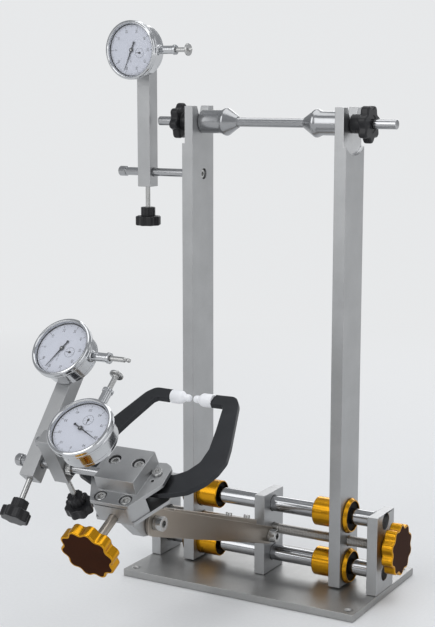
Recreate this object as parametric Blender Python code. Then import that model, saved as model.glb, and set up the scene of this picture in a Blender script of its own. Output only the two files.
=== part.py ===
"""Wheel truing stand with a caliper head and three dial gauges.

Metres, +Z up. The origin is at the middle of the base plate's underside, X runs along
the guide rods and -Y points to the front, where the caliper head hangs on its links.
Sizes are written in millimetres and MM turns them into metres.
"""
import math

import bmesh
import bpy
from mathutils import Matrix

MM = 0.001
GAP = 0.3

# Base and fixed plates
BASE_LENGTH = 250.0
BASE_DEPTH = 145.0
BASE_THICK = 7.0
PLATE_WIDTH = 40.0
END_PLATE_THICK = 10.5
END_PLATE_TOP = 83.5
CENTRE_PLATE_THICK = 11.0
CENTRE_PLATE_TOP = 87.5

# Guide rods and the width screw
ROD_RADIUS = 7.75
ROD_HEIGHTS = (25.2, 75.4)
SCREW_RADIUS = 5.0
SCREW_HEIGHT = 50.3
BUSHING_RADIUS = 14.0
BUSHING_INNER_END = 48.5
BUSHING_OUTER_END = 93.0

# Uprights and the axle
UPRIGHT_INNER = 75.0
UPRIGHT_OUTER = 87.0
UPRIGHT_FOOT = 8.5
UPRIGHT_TOP = 458.5
AXLE_HEIGHT = 447.0
AXLE_RADIUS = 4.5
HEAD_RECESS_RADIUS = 28.5
HEAD_RECESS_DEPTH = 3.0
SLOT_HALF_TOP = 10.5
SLOT_HALF_FOOT = 5.0

# Gold knobs
KNOB_RADIUS = 25.0
KNOB_THICK = 11.0
KNOB_LOBES = 10

# Links: turned up from the horizontal by LINK_RISE about the rear pivot
REAR_PIVOT_Y = -14.5
REAR_PIVOT_Z = 47.0
FRONT_PIVOT_Y = -220.9
FRONT_PIVOT_Z = 117.8
LINK_INNER = 5.8
LINK_OUTER = 8.8
LINK_REAR_RADIUS = 8.5
LINK_FRONT_RADIUS = 12.0
LINK_LENGTH = math.hypot(FRONT_PIVOT_Y - REAR_PIVOT_Y, FRONT_PIVOT_Z - REAR_PIVOT_Z)
LINK_RISE = math.degrees(math.atan2(FRONT_PIVOT_Z - REAR_PIVOT_Z, REAR_PIVOT_Y - FRONT_PIVOT_Y))

# Caliper head: its own X, Y and Z are the stand's X, the reach towards the rim,
# and the direction square to the arms. The tips meet at reach 0, height 0.
HEAD_TILT = 28.5
HEAD_REACH = 108.0
HEAD_DROP = 44.0
ARM_HALF_THICK = 2.5
ARM_PIVOT_X = 23.9
ARM_PIVOT_REACH = -102.0
SPINDLE_HEIGHT = -5.4

# Gauge bars
BAR_HALF = 7.25
CLAMP_STUD_RADIUS = 2.4
GAUGE_ROD_RADIUS = 4.0
UPPER_BAR_X = -139.2
UPPER_BAR_Z = 396.5
HEAD_ROD_REACH = -116.4
HEAD_ROD_HEIGHT = 15.0
LATERAL_BAR_X = -87.7
LATERAL_BAR_TURN = -38.8
RADIAL_BAR_X = -62.3
RADIAL_BAR_TURN = 31.4
RADIAL_DIAL_X = -17.0
RADIAL_DIAL_TURN = 10.1
CROSS_ROD_HEIGHT = 27.2

# Dials
DIAL_STANDOFF = 31.25
BEZEL_RADIUS = 28.2
DRUM_RADIUS = 25.2
DIAL_DEPTH = 23.7
STEM_DEPTH = 7.2
STEM_END = 45.5
POINTER_ANGLES = {"upper": -113.0, "lateral": -116.0, "radial": -114.0}

SIDEWAYS = (90, 0, 90)
ALONG_X = (0, 90, 0)

FINISHES = {
    "base": ((0.27, 0.28, 0.29), 0.45, 0.9),
    "plate": ((0.62, 0.63, 0.64), 0.38, 0.9),
    "arm": ((0.16, 0.17, 0.18), 0.42, 0.8),
    "steel": ((0.68, 0.69, 0.71), 0.18, 1.0),
    "stainless": ((0.5, 0.48, 0.46), 0.3, 1.0),
    "gold": ((0.83, 0.52, 0.06), 0.25, 1.0),
    "black": ((0.02, 0.02, 0.022), 0.4, 0.1),
    "nylon": ((0.86, 0.87, 0.9), 0.5, 0.0),
    "dial": ((0.82, 0.83, 0.92), 0.4, 0.0),
    "pointer": ((0.03, 0.03, 0.04), 0.4, 0.2),
}
FLAT_FINISHES = ("base", "plate")


def clear_scene():
    for item in list(bpy.data.objects):
        bpy.data.objects.remove(item, do_unlink=True)


def finish_material(node, finish):
    colour, roughness, metallic = FINISHES[finish]
    material = bpy.data.materials.new(node + "_finish")
    material.use_nodes = True
    shader = material.node_tree.nodes["Principled BSDF"]
    shader.inputs["Base Color"].default_value = (*colour, 1.0)
    shader.inputs["Roughness"].default_value = roughness
    shader.inputs["Metallic"].default_value = metallic
    material.diffuse_color = (*colour, 1.0)
    return material


def pivot(name, at, turn=0.0, parent=None, spin=0.0):
    """An empty on a joint's axis, turned about X, then spun about its own Z."""
    empty = bpy.data.objects.new(name, None)
    bpy.context.collection.objects.link(empty)
    empty.empty_display_size = 0.02
    empty.parent = parent
    place = Matrix.Translation([c * MM for c in at])
    turned = Matrix.Rotation(math.radians(turn), 4, "X") @ Matrix.Rotation(math.radians(spin), 4, "Z")
    empty.matrix_basis = place @ turned
    return empty


def solid(name, bm, finish, parent=None, at=(0, 0, 0), turn=(0, 0, 0)):
    """A finished shape, drawn in millimetres, as a named object. No finish makes a cutter."""
    bmesh.ops.remove_doubles(bm, verts=bm.verts, dist=0.001)
    bmesh.ops.recalc_face_normals(bm, faces=bm.faces)
    bmesh.ops.scale(bm, verts=bm.verts, vec=(MM, MM, MM))
    mesh = bpy.data.meshes.new(name)
    bm.to_mesh(mesh)
    bm.free()
    if finish in FLAT_FINISHES:
        mesh.shade_flat()
    else:
        mesh.shade_smooth()
        mesh.set_sharp_from_angle(angle=math.radians(32))
    item = bpy.data.objects.new(name, mesh)
    bpy.context.collection.objects.link(item)
    item.parent = parent
    item.location = [c * MM for c in at]
    item.rotation_euler = [math.radians(t) for t in turn]
    if finish is None:
        item.hide_render = True
        item.display_type = "WIRE"
    else:
        mesh.materials.append(finish_material(name, finish))
    return item


def combine(item, other, operation):
    step = item.modifiers.new(other.name, "BOOLEAN")
    step.operation = operation
    step.solver = "EXACT"
    step.object = other
    other.hide_render = True
    other.display_type = "WIRE"


def cut(item, other):
    combine(item, other, "DIFFERENCE")


def fuse(item, other):
    combine(item, other, "UNION")


def turned(profile, steps=32):
    """A round piece about Z, from (radius, height) pairs taken from foot to top."""
    bm = bmesh.new()
    verts = [bm.verts.new((radius, 0, height)) for radius, height in profile]
    for pair in zip(verts, verts[1:]):
        bm.edges.new(pair)
    if profile[0][0] > 0:
        bm.edges.new((verts[-1], verts[0]))
    bmesh.ops.spin(bm, geom=list(bm.verts) + list(bm.edges), cent=(0, 0, 0), axis=(0, 0, 1),
                   angle=math.tau, steps=steps, use_merge=True)
    return bm


def rod(radius, low, high, steps=24, rim=0.0):
    if rim:
        return turned([(0, low), (radius - rim, low), (radius, low + rim),
                       (radius, high - rim), (radius - rim, high), (0, high)], steps)
    return turned([(0, low), (radius, low), (radius, high), (0, high)], steps)


def sleeve(bore, radius, low, high, steps=32, rim=0.0):
    if rim:
        return turned([(bore, low), (radius - rim, low), (radius, low + rim),
                       (radius, high - rim), (radius - rim, high), (bore, high)], steps)
    return turned([(bore, low), (radius, low), (radius, high), (bore, high)], steps)


def plate(outline, low, high, rim=0.0):
    """A flat piece with the outline in X and Y, from low to high along Z."""
    bm = bmesh.new()
    face = bm.faces.new([bm.verts.new((x, y, low)) for x, y in outline])
    raised = bmesh.ops.extrude_face_region(bm, geom=[face])["geom"]
    top = [v for v in raised if isinstance(v, bmesh.types.BMVert)]
    bmesh.ops.translate(bm, verts=top, vec=(0, 0, high - low))
    bmesh.ops.recalc_face_normals(bm, faces=bm.faces)
    if rim:
        ring = [e for e in bm.edges if abs(e.verts[0].co.z - e.verts[1].co.z) < 1e-6]
        bmesh.ops.bevel(bm, geom=ring, offset=rim, offset_type="OFFSET", affect="EDGES",
                        segments=1, profile=0.5, material=-1)
    return bm


def block(low, high, rim=0.0):
    """A box between two corners, with every edge chamfered by rim."""
    bm = bmesh.new()
    bmesh.ops.create_cube(bm, size=1.0)
    size = [b - a for a, b in zip(low, high)]
    middle = [(a + b) / 2 for a, b in zip(low, high)]
    bmesh.ops.scale(bm, verts=bm.verts, vec=size)
    bmesh.ops.translate(bm, verts=bm.verts, vec=middle)
    if rim:
        bmesh.ops.bevel(bm, geom=list(bm.edges), offset=rim, offset_type="OFFSET", affect="EDGES",
                        segments=1, profile=0.5, material=-1)
    return bm


def drills(holes, steps=16):
    """Round cutters along Z in one shape: (x, y, radius, low, high) for each."""
    bm = bmesh.new()
    for x, y, radius, low, high in holes:
        made = bmesh.ops.create_cone(bm, cap_ends=True, segments=steps, radius1=radius,
                                     radius2=radius, depth=high - low)
        bmesh.ops.translate(bm, verts=made["verts"], vec=(x, y, (low + high) / 2))
    return bm


def arc(x, y, radius, start, end, steps):
    return [(x + radius * math.cos(math.radians(start + (end - start) * i / steps)),
             y + radius * math.sin(math.radians(start + (end - start) * i / steps)))
            for i in range(steps + 1)]


def rounded(corners):
    """An outline whose corners (x, y, radius) are rounded by short arcs."""
    outline = []
    count = len(corners)
    for i, (x, y, radius) in enumerate(corners):
        before = corners[i - 1]
        after = corners[(i + 1) % count]
        if radius <= 0:
            outline.append((x, y))
            continue
        ax, ay = before[0] - x, before[1] - y
        bx, by = after[0] - x, after[1] - y
        a_len, b_len = math.hypot(ax, ay), math.hypot(bx, by)
        ax, ay, bx, by = ax / a_len, ay / a_len, bx / b_len, by / b_len
        half = math.acos(max(-1.0, min(1.0, ax * bx + ay * by))) / 2
        away = min(radius / math.tan(half), 0.49 * a_len, 0.49 * b_len)
        true_radius = away * math.tan(half)
        middle = math.hypot(away, true_radius)
        hx, hy = ax + bx, ay + by
        h_len = math.hypot(hx, hy)
        cx, cy = x + hx / h_len * middle, y + hy / h_len * middle
        first = math.atan2(y + ay * away - cy, x + ax * away - cx)
        last = math.atan2(y + by * away - cy, x + bx * away - cx)
        sweep = (last - first + math.pi) % math.tau - math.pi
        steps = max(2, round(abs(math.degrees(sweep)) / 25))
        for k in range(steps + 1):
            angle = first + sweep * k / steps
            outline.append((cx + true_radius * math.cos(angle), cy + true_radius * math.sin(angle)))
    return outline


def mirrored(points, side):
    """Outline points for the right-hand piece, or their mirror image for the left-hand one."""
    if side > 0:
        return points
    return [(-x, y) for x, y in reversed(points)]


def lobed(radius, depth, lobes, sharpness=1.0, steps=6):
    """A knob's outline: a circle with rounded hollows between its lobes."""
    outline = []
    for i in range(lobes * steps):
        angle = math.tau * i / (lobes * steps)
        hollow = (0.5 - 0.5 * math.cos(lobes * angle)) ** sharpness
        reach = radius - depth * hollow
        outline.append((reach * math.cos(angle), reach * math.sin(angle)))
    return outline


def gold_knob(name, bore, shape_low, shape_high, parent, at, turn):
    """A scalloped knob along Z with a bore right through it."""
    outline = lobed(KNOB_RADIUS, 3.0, KNOB_LOBES, 1.4, 4)
    knob = solid(name, plate(outline, shape_low, shape_high, 1.0), "gold", parent, at, turn)
    return knob


def base_and_plates():
    base = solid("base_plate", block((-BASE_LENGTH / 2, -BASE_DEPTH / 2, 0),
                                     (BASE_LENGTH / 2, BASE_DEPTH / 2, BASE_THICK), 0.8), "base")
    corners = [(x, y, 2.5, -1, BASE_THICK + 1) for x in (-116, 116) for y in (-62.5, 62.5)]
    cut(base, solid("base_holes", drills(corners, 12), None))

    half = PLATE_WIDTH / 2
    foot = BASE_THICK + GAP
    for side, label in ((-1, "left"), (1, "right")):
        inner = side * (BASE_LENGTH / 2 - END_PLATE_THICK)
        outer = side * BASE_LENGTH / 2
        low, high = min(inner, outer), max(inner, outer)
        shape = block((low, -half, foot), (high, half, END_PLATE_TOP), 0.8)
        end = solid("end_plate_" + label, shape, "plate")
        bores = [(0, z, ROD_RADIUS + GAP, low - 1, high + 1) for z in ROD_HEIGHTS]
        bores.append((0, SCREW_HEIGHT, SCREW_RADIUS + GAP, low - 1, high + 1))
        cut(end, solid("end_bores_" + label, drills(bores, 16), None, turn=SIDEWAYS))

    thick = CENTRE_PLATE_THICK / 2
    shape = block((-thick, -half, foot), (thick, half, CENTRE_PLATE_TOP), 0.8)
    centre = solid("centre_plate", shape, "plate")
    bores = [(0, z, ROD_RADIUS + GAP, -thick - 1, thick + 1) for z in ROD_HEIGHTS]
    bores.append((0, SCREW_HEIGHT, SCREW_RADIUS + GAP, -thick - 1, thick + 1))
    bores.append((REAR_PIVOT_Y, REAR_PIVOT_Z, 3.0 + GAP, -thick - 1, thick + 1))
    cut(centre, solid("centre_bores", drills(bores, 16), None, turn=SIDEWAYS))

    end = BASE_LENGTH / 2 - 1.5
    for label, z in zip(("lower", "upper"), ROD_HEIGHTS):
        solid("guide_rod_" + label, rod(ROD_RADIUS, -end, end, 18, 0.8), "steel", at=(0, 0, z), turn=ALONG_X)


def width_screw():
    spin = pivot("width_screw_spin", (0, 0, SCREW_HEIGHT))
    end = BASE_LENGTH / 2
    solid("lead_screw", rod(SCREW_RADIUS, -end + 2, end + 13, 16, 0.8), "steel", spin, turn=ALONG_X)
    profile = [(SCREW_RADIUS + GAP, end + GAP), (11.6, end + GAP), (11.6, end + 7)]
    profile += [(SCREW_RADIUS + GAP, end + 7)]
    knob = gold_knob("width_knob", 0, end + 6, end + 6 + KNOB_THICK, spin, (0, 0, 0), ALONG_X)
    fuse(knob, solid("width_knob_hub", turned(profile, 16), None, spin, turn=ALONG_X))
    cut(knob, solid("width_knob_bore", rod(SCREW_RADIUS + GAP, end - 1, end + 13 + GAP, 16), None, spin,
                    turn=ALONG_X))


def upright(side, label):
    """An upright with its bushings, cone and star knob, on the empty that slides along X."""
    slide = pivot("upright_slide_" + label, (side * (UPRIGHT_INNER + UPRIGHT_OUTER) / 2, 0, SCREW_HEIGHT))
    dx = -slide.location.x / MM
    at = (dx, 0, -SCREW_HEIGHT)
    half = PLATE_WIDTH / 2
    low, high = sorted((side * UPRIGHT_INNER, side * UPRIGHT_OUTER))
    body = solid("upright_" + label, block((low, -half, UPRIGHT_FOOT), (high, half, UPRIGHT_TOP), 0.8),
                 "plate", slide, at)
    bores = [(0, z, BUSHING_RADIUS + GAP, low - 1, high + 1) for z in ROD_HEIGHTS]
    bores.append((0, SCREW_HEIGHT, SCREW_RADIUS + GAP, low - 1, high + 1))
    if side < 0:
        bores.append((0, UPPER_BAR_Z, 5.2, high - 5, high + 1))
    cut(body, solid("upright_bores_" + label, drills(bores, 18), None, slide, at, SIDEWAYS))
    slot = [(-SLOT_HALF_TOP - 0.6, UPRIGHT_TOP + 1), (-SLOT_HALF_FOOT, AXLE_HEIGHT + 1)]
    slot += arc(0, AXLE_HEIGHT, SLOT_HALF_FOOT, 180, 360, 10)
    slot += [(SLOT_HALF_FOOT, AXLE_HEIGHT + 1), (SLOT_HALF_TOP + 0.6, UPRIGHT_TOP + 1)]
    cut(body, solid("axle_slot_" + label, plate(slot, low - 1, high + 1), None, slide, at, SIDEWAYS))
    floor = side * (UPRIGHT_OUTER - HEAD_RECESS_DEPTH)
    recess = arc(0, AXLE_HEIGHT, HEAD_RECESS_RADIUS, 180, 360, 24)
    recess += [(HEAD_RECESS_RADIUS, UPRIGHT_TOP + 2), (-HEAD_RECESS_RADIUS, UPRIGHT_TOP + 2)]
    a, b = sorted((floor, side * (UPRIGHT_OUTER + 1)))
    cut(body, solid("head_recess_" + label, plate(recess, a, b), None, slide, at, SIDEWAYS))

    face = (0, 90 * side, 0)
    for name, z in zip(("lower", "upper"), ROD_HEIGHTS):
        shape = sleeve(ROD_RADIUS + GAP, BUSHING_RADIUS, BUSHING_INNER_END, BUSHING_OUTER_END, 18, 0.9)
        solid("bushing_" + label + "_" + name, shape, "gold", slide, (dx, 0, z - SCREW_HEIGHT), face)

    bore = AXLE_RADIUS + GAP
    cone = [(bore, 35.5), (5.6, 35.5), (13.2, 47.0), (13.2, 49.0), (11.1, 53.4)]
    cone += [(11.1, UPRIGHT_INNER - GAP), (bore, UPRIGHT_INNER - GAP)]
    solid("cone_" + label, turned(cone, 16), "steel", slide, (dx, 0, AXLE_HEIGHT - SCREW_HEIGHT), face)
    return slide


def star_knob(side, label, slide, hub_end, head_end):
    """A black star knob whose hub sits in the upright's recess."""
    spin = pivot("star_spin_" + label, (-slide.location.x / MM, 0, AXLE_HEIGHT - SCREW_HEIGHT), 0, slide)
    face = (0, 90 * side, 0)
    foot = UPRIGHT_OUTER - HEAD_RECESS_DEPTH + GAP
    head = plate(lobed(17.6, 3.4, 7, 1.2, 4), hub_end, head_end, 1.2)
    knob = solid("star_knob_" + label, head, "black", spin, turn=face)
    fuse(knob, solid("star_hub_" + label, rod(8.8, foot, hub_end + 3, 18), None, spin, turn=face))
    cut(knob, solid("star_bore_" + label, rod(AXLE_RADIUS + GAP, foot - 2, head_end + 2, 16), None, spin,
                    turn=face))


def axle(slide):
    at = (-slide.location.x / MM, 0, AXLE_HEIGHT - SCREW_HEIGHT)
    solid("axle_rod", rod(AXLE_RADIUS, -124.5, 128, 16, 1.0), "steel", slide, at, ALONG_X)


def upper_arm(slide):
    """The rod on the left upright with the bar, clamp and gauge that read the rim from the side."""
    dx = -slide.location.x / MM
    at = (dx, 0, UPPER_BAR_Z - SCREW_HEIGHT)
    profile = [(0, UPRIGHT_OUTER + GAP), (GAUGE_ROD_RADIUS, UPRIGHT_OUTER + GAP), (GAUGE_ROD_RADIUS, 163.5)]
    profile += [(5.0, 163.5), (5.0, 171), (4.2, 172), (0, 172)]
    solid("upper_rod", turned(profile, 12), "steel", slide, at, (0, -90, 0))
    swing = pivot("upper_bar_swing", (UPPER_BAR_X + dx, 0, UPPER_BAR_Z - SCREW_HEIGHT), 0, slide)
    gauge_bar("upper", swing, -14.5, 128.5)
    dial = pivot("upper_dial", (0, -DIAL_STANDOFF, 118.5), 90, swing)
    gauge("upper", dial, "disc", 57.7)


def gauge_bar(name, swing, foot, top):
    """A square bar along Z round its rod, with a clamp screw and black knob below."""
    shape = block((-BAR_HALF, -BAR_HALF, foot), (BAR_HALF, BAR_HALF, top), 0.6)
    bar = solid(name + "_bar", shape, "plate", swing)
    bore = rod(GAUGE_ROD_RADIUS + GAP, -BAR_HALF - 1, BAR_HALF + 1, 16)
    cut(bar, solid(name + "_bar_bore", bore, None, swing, turn=ALONG_X))
    cut(bar, solid(name + "_bar_tap", rod(CLAMP_STUD_RADIUS + GAP, foot - 1, -5.6, 16), None, swing))
    spin = pivot(name + "_clamp_spin", (0, 0, 0), 0, swing)
    clamp = solid(name + "_clamp", plate(lobed(12.8, 1.6, 8, 1.0, 3), -53.5, -44, 1.0), "black", spin)
    hub = turned([(0, -46), (7.2, -46), (7.2, -35.9), (6.6, -35.2), (0, -35.2)], 14)
    fuse(clamp, solid(name + "_clamp_hub", hub, None, spin))
    fuse(clamp, solid(name + "_clamp_stud", rod(CLAMP_STUD_RADIUS, -37, -5.8, 12), None, spin))


def gauge(name, dial, tip, reach, lug=False):
    """A dial gauge: X runs along its stem, Z out of its face, the origin in the bezel's front."""
    steps = 24
    drum = [(0, -DIAL_DEPTH), (DRUM_RADIUS - 1.2, -DIAL_DEPTH), (DRUM_RADIUS, -DIAL_DEPTH + 1.2)]
    drum += [(DRUM_RADIUS, -9.6), (26, -9.2), (26, -7.3), (0, -7.3)]
    case = solid(name + "_case", turned(drum, steps), "steel", dial)
    fuse(case, solid(name + "_arbor", rod(1.0, -9, -4.0, 8), None, dial))
    stem = [(0, 16.3), (5.2, 16.3), (5.2, DRUM_RADIUS + 2.2), (4.0, DRUM_RADIUS + 2.2), (4.0, STEM_END - 3)]
    stem += [(4.9, STEM_END - 3), (4.9, STEM_END), (0, STEM_END)]
    level = (0, 0, -STEM_DEPTH - 5.5)
    fuse(case, solid(name + "_stem", turned(stem, 12), None, dial, level, ALONG_X))
    if lug:
        ear = rounded([(-5, 0, 0), (5, 0, 0), (5, 17.5, 4.9), (-5, 17.5, 4.9)])
        back = plate([(x, -y) for x, y in reversed(ear)], -6, 6)
        fuse(case, solid(name + "_lug", back, None, dial, (0, 0, -DIAL_DEPTH + 1), (90, 0, 90)))
        cut(case, solid(name + "_lug_bore", rod(3.3, -8, 8, 12), None, dial, (0, 0, -34), (90, 0, 0)))
    cut(case, solid(name + "_stem_bore", rod(2.6, 18, STEM_END + 1, 12), None, dial, level, ALONG_X))

    turn_ring = pivot(name + "_bezel_turn", (0, 0, 0), 0, dial)
    ring = [(24.8, -7.0), (BEZEL_RADIUS, -7.0), (BEZEL_RADIUS, -1.2), (27.2, 0)]
    ring += [(25.6, 0), (24.8, -2.2)]
    solid(name + "_bezel", turned(ring, steps), "steel", turn_ring)
    face = turned([(1.5, -7.0), (24.5, -7.0), (24.5, -4.4), (1.5, -4.4)], 20)
    solid(name + "_scale", face, "dial", turn_ring)

    sweep = pivot(name + "_pointer_sweep", (0, 0, 0), 0, dial)
    hand = [(-7, -1.4), (-3, -1.4), (0, -0.9), (20.5, -0.25), (20.5, 0.25), (0, 0.9), (-3, 1.4), (-7, 1.4)]
    pointer = solid(name + "_pointer", plate(hand, -3.6, -2.9), "pointer", sweep,
                    turn=(0, 0, POINTER_ANGLES[name]))
    fuse(pointer, solid(name + "_pointer_hub", rod(2.2, -3.7, -2.4, 10), None, sweep))

    slide = pivot(name + "_plunger", level, 0, dial)
    shaft = [(0, 30), (2.25, 30)]
    if tip == "disc":
        shaft += [(2.25, reach), (6.0, reach), (6.0, reach + 2.2), (1.8, reach + 2.2), (1.2, reach + 5.5)]
        shaft += [(0, reach + 5.5)]
    else:
        shaft += [(2.25, reach - 6), (1.4, reach - 5), (1.4, reach - 3.4)]
        shaft += [(2.0 * math.sin(math.radians(a)), reach - 2 - 2.0 * math.cos(math.radians(a)))
                  for a in range(45, 180, 45)]
        shaft += [(0, reach)]
    solid(name + "_spindle", turned(shaft, 10), "steel", slide, turn=ALONG_X)


def links():
    """Two side plates and the spine between them, swinging on the centre plate."""
    swing = pivot("link_swing", (0, REAR_PIVOT_Y, REAR_PIVOT_Z), -LINK_RISE)
    lean = math.degrees(math.asin((LINK_FRONT_RADIUS - LINK_REAR_RADIUS) / LINK_LENGTH))
    outline = arc(0, 0, LINK_REAR_RADIUS, -90 - lean, 90 + lean, 8)
    outline += arc(-LINK_LENGTH, 0, LINK_FRONT_RADIUS, 90 + lean, 270 - lean, 10)
    for side, label in ((-1, "left"), (1, "right")):
        low, high = sorted((side * LINK_INNER, side * LINK_OUTER))
        link = solid("link_" + label, plate(outline, low, high), "stainless", swing, turn=SIDEWAYS)
        eyes = [(0, 0, 3.0 + GAP, low - 1, high + 1), (-LINK_LENGTH, 0, 3.0 + GAP, low - 1, high + 1)]
        cut(link, solid("link_eyes_" + label, drills(eyes, 16), None, swing, turn=SIDEWAYS))
    spine = block((-5.5, -186, 7.0), (5.5, -26, 13.2), 0.6)
    solid("link_spine", spine, "stainless", swing)
    for name, y in (("rear_pivot", 0), ("front_pivot", -LINK_LENGTH)):
        bolt = [(0, -13.5), (5.0, -13.5), (5.4, -13.1), (5.4, -9.1), (3.0, -9.1), (3.0, 9.1), (6.5, 9.1)]
        bolt += [(6.5, 16.2), (5.8, 17.0), (3.0, 17.0), (3.0, 13.4), (0, 13.4)]
        solid(name, turned(bolt, 10), "steel", swing, (0, y, 0), ALONG_X)
    return swing


def flange(side_points):
    """The head plates' plan: the right half's points, then their mirror image."""
    return side_points + [(-x, y, r) for x, y, r in reversed(side_points)]


def caliper_head(swing):
    """The two-shell housing on the front pivot, its arms, spreader screw and gauges."""
    lean = LINK_RISE + HEAD_TILT
    tilt = pivot("caliper_tilt", (0, -LINK_LENGTH, 0), lean, swing)

    def spot(x, reach, height):
        return (x, reach + HEAD_REACH, height + HEAD_DROP)

    origin = spot(0, 0, 0)
    plan = [(18.4, -143.3, 0), (35.0, -112.8, 3), (33.4, -92.9, 6), (26.0, -89.1, 2), (19.2, -89.8, 0)]
    plan = rounded(flange(plan))
    top = solid("caliper_top", plate(plan, 6.4, 10, 0.5), "plate", tilt, origin)
    raised = [(-144.2, 8.0), (-90.5, 8.0), (-90.5, 22.7), (-129.4, 22.7), (-144.2, 10.7)]
    fuse(top, solid("caliper_top_block", plate(raised, -19, 19, 0.5), None, tilt, origin, SIDEWAYS))
    wells = [(x, -105.9, 4.2, 18.2, 24) for x in (-11.6, 11.6)]
    wells += [(x, y, r, 5, 11) for x in (-23.9, 23.9) for y, r in ((-111.2, 1.3), (-102.0, 3.3))]
    cut(top, solid("caliper_top_wells", drills(wells, 12), None, tilt, origin))
    slope = math.degrees(math.atan2(22.7 - 10.7, 144.2 - 129.4))
    slope_wells = drills([(x, -3.4, 4.2, -4.2, 3) for x in (-11.4, 11.4)], 12)
    middle = spot(0, -136.8, 16.7)
    cut(top, solid("caliper_slope_wells", slope_wells, None, tilt, middle, (slope, 0, 0)))
    rod_bore = rod(GAUGE_ROD_RADIUS + GAP, 12, 20, 16)
    middle = spot(0, HEAD_ROD_REACH, HEAD_ROD_HEIGHT)
    cut(top, solid("gauge_rod_bore", rod_bore, None, tilt, middle, (0, -90, 0)))

    body = solid("caliper_body", plate(plan, -11.4, -8.2, 0.5), "plate", tilt, origin)
    front = flange([(14.0, -144.0, 0), (18.4, -141.5, 0), (25.5, -128.0, 0), (22.0, -124.5, 0)])
    front = [(x, y) for x, y, r in front]
    fuse(body, solid("caliper_body_front", plate(front, -9.5, 6.1, 0.3), None, tilt, origin))
    stem = [(-140, -10), (-92, -10), (-92, -14), (-97.5, -44), (-99, -50), (-104, -54.5), (-112, -54.5)]
    stem += [(-124.3, -45.2), (-136, -16)]
    fuse(body, solid("caliper_body_stem", plate(stem, -5.5, 5.5, 0.3), None, tilt, origin, SIDEWAYS))
    cut(body, solid("front_eye", rod(3.0 + GAP, -7, 7, 16), None, tilt, turn=ALONG_X))
    throat = rod(4.0 + GAP, -146, -123, 20)
    cut(body, solid("screw_throat", throat, None, tilt, spot(0, 0, SPINDLE_HEIGHT), (-90, 0, 0)))
    pins = [(x, ARM_PIVOT_REACH, 3.3, -12, -8) for x in (-ARM_PIVOT_X, ARM_PIVOT_X)]
    cut(body, solid("arm_pin_holes", drills(pins, 16), None, tilt, origin))

    for side, label in ((-1, "left"), (1, "right")):
        caliper_arm(side, label, tilt, spot)

    spin = pivot("caliper_screw_spin", spot(0, 0, SPINDLE_HEIGHT), 0, tilt)
    shank = [(0, -184), (4, -184), (4, -124), (2.2, -124), (2.2, -103), (0, -103)]
    solid("caliper_screw", turned(shank, 12), "stainless", spin, turn=(-90, 0, 0))
    knob = gold_knob("caliper_knob", 0, -187.3, -187.3 + KNOB_THICK, spin, (0, 0, 0), (-90, 0, 0))
    fuse(knob, solid("caliper_knob_hub", rod(9, -177, -171.5, 16), None, spin, turn=(-90, 0, 0)))
    cut(knob, solid("caliper_knob_bore", rod(4.0 + GAP, -184 - GAP, -170, 14), None, spin, turn=(-90, 0, 0)))

    slide = pivot("spreader_slide", origin, 0, tilt)
    outline = [(-10.5, -123), (10.5, -123), (10.5, -119.3), (3.4, -119.3), (3.4, -112.7)]
    outline += [(13, -112.7), (13, -109), (-13, -109), (-13, -112.7), (-3.4, -112.7)]
    outline += [(-3.4, -119.3), (-10.5, -119.3)]
    nut = solid("spreader_nut", plate(outline, -7.8, 3.2), "steel", slide)
    cut(nut, solid("spreader_thread", rod(2.2 + GAP, -126, -106, 16), None, slide, (0, 0, SPINDLE_HEIGHT),
                   (-90, 0, 0)))

    rod_place = spot(0, HEAD_ROD_REACH, HEAD_ROD_HEIGHT)
    profile = [(0, 12.4), (GAUGE_ROD_RADIUS, 12.4), (GAUGE_ROD_RADIUS, 101), (5.4, 101), (5.4, 107)]
    profile += [(4.4, 108)]
    profile += [(0, 108)]
    solid("gauge_rod", turned(profile, 12), "steel", tilt, rod_place, (0, -90, 0))

    lateral = pivot("lateral_bar_swing", (LATERAL_BAR_X, rod_place[1], rod_place[2]),
                    LATERAL_BAR_TURN - HEAD_TILT, tilt)
    gauge_bar("lateral", lateral, -15.4, 104)
    dial = pivot("lateral_dial", (0, -DIAL_STANDOFF, 96), 90, lateral)
    gauge("lateral", dial, "ball", 66)

    radial = pivot("radial_bar_swing", (RADIAL_BAR_X, rod_place[1], rod_place[2]),
                   RADIAL_BAR_TURN - HEAD_TILT, tilt)
    gauge_bar("radial", radial, -12.2, 34.8)
    cross = (0, 0, CROSS_ROD_HEIGHT)
    cross_bore = solid("cross_rod_bore", rod(3.3, -9, 9, 16), None, radial, cross, ALONG_X)
    cut(bpy.data.objects["radial_bar"], cross_bore)
    offset = RADIAL_DIAL_X - RADIAL_BAR_X
    pin = turned([(0, -13), (4.2, -13), (4.2, -7.6), (3.0, -7.6), (3.0, offset + 7), (0, offset + 7)], 16)
    solid("cross_rod", pin, "steel", radial, cross, ALONG_X)
    carrier = pivot("radial_dial_carrier", (offset, 0, CROSS_ROD_HEIGHT), RADIAL_DIAL_TURN, radial)
    dial = pivot("radial_dial", (0, 0, 34), 0, carrier, 90)
    gauge("radial", dial, "disc", 60.0, True)


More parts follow.
